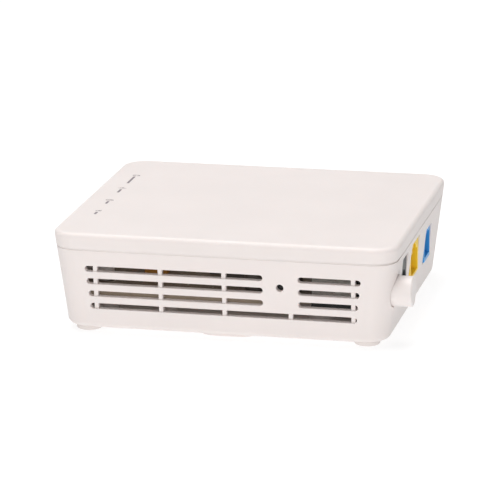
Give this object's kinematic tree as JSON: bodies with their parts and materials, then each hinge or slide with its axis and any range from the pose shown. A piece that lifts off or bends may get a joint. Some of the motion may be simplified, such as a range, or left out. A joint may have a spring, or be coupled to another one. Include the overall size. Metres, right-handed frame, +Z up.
{
  "type": "optical network terminal",
  "caption": "Small white desktop optical network terminal: tapered vented box with a flat lid, round push button, power inlet, yellow LAN jack and blue optical receptacle at one end.",
  "frame": {"origin": "on the rest plane, at the middle of the assembly's footprint box", "axes": "+X towards the end with the sockets and the power button, +Z up; the reset pin-hole is in the -Y side"},
  "size_m": [0.1108, 0.0972, 0.032],
  "materials": {
    "aluminium": "satin",
    "black_plastic": "satin",
    "blue_plastic": "satin",
    "board_mask": "satin",
    "capacitor_sleeve": "satin",
    "ceramic": "gloss",
    "chip_black": "matte",
    "clear_guide": "gloss",
    "contact_brass": "gloss",
    "ferrite_grey": "matte",
    "foot_rubber": "matte",
    "gold_can": "gloss",
    "ivory_plastic": "satin",
    "label": "matte",
    "lamp_cream": "gloss",
    "screw_steel": "satin",
    "tantalum_orange": "satin",
    "thermal_grey": "matte",
    "white_button": "satin",
    "white_case": "satin",
    "yellow_plastic": "satin"
  },
  "bodies": {
    "housing": {"alignment_sleeve": "ceramic", "base_shell": "white_case", "blank_label": "label", "case_screw_1": "screw_steel", "case_screw_2": "screw_steel", "case_screw_3": "screw_steel", "case_screw_4": "screw_steel", "crystal": "screw_steel", "electrolytic_capacitor_1": "capacitor_sleeve", "electrolytic_capacitor_2": "capacitor_sleeve", "electrolytic_capacitor_3": "capacitor_sleeve", "flash_chip": "chip_black", "foot_front_left": "foot_rubber", "foot_front_right": "foot_rubber", "foot_rear_left": "foot_rubber", "foot_rear_right": "foot_rubber", "heat_sink": "aluminium", "indicator_lamp_1": "lamp_cream", "indicator_lamp_2": "lamp_cream", "indicator_lamp_3": "lamp_cream", "indicator_lamp_4": "lamp_cream", "input_diode": "chip_black", "lan_jack_contacts": "contact_brass", "lan_jack_shell": "yellow_plastic", "lan_transformer": "chip_black", "laser_can": "gold_can", "laser_driver_chip": "chip_black", "light_guide": "clear_guide", "main_board": "board_mask", "main_processor": "chip_black", "memory_chip": "chip_black", "optical_receptacle": "blue_plastic", "photodiode_can": "gold_can", "power_inlet_pin": "screw_steel", "power_inlet_shell": "black_plastic", "power_inlet_spring": "contact_brass", "power_switch_body": "black_plastic", "power_switch_frame": "screw_steel", "power_switch_spring": "screw_steel", "reset_switch_body": "black_plastic", "reset_switch_bracket": "screw_steel", "supply_chip_1": "chip_black", "supply_chip_2": "chip_black", "supply_inductor_1": "ferrite_grey", "supply_inductor_2": "ferrite_grey", "tantalum_capacitor": "tantalum_orange", "thermal_pad": "thermal_grey", "top_cover": "white_case", "transceiver_body": "aluminium", "transceiver_shield": "screw_steel"},
    "power_button": {"power_button_cap": "white_button", "power_switch_stem": "ivory_plastic"},
    "reset_button": {"reset_plunger": "black_plastic"}
  },
  "joints": [
    {"name": "power_button_press", "type": "slide", "parent": "housing", "child": "power_button", "axis": [-1, 0, 0], "range_m": [0, 0.0025], "stiffness_N_per_m": 60, "springref_m": -0.002, "deforming": ["power_switch_spring"]},
    {"name": "reset_press", "type": "slide", "parent": "housing", "child": "reset_button", "axis": [0, 1, 0], "range_m": [0, 0.00025]}
  ]
}
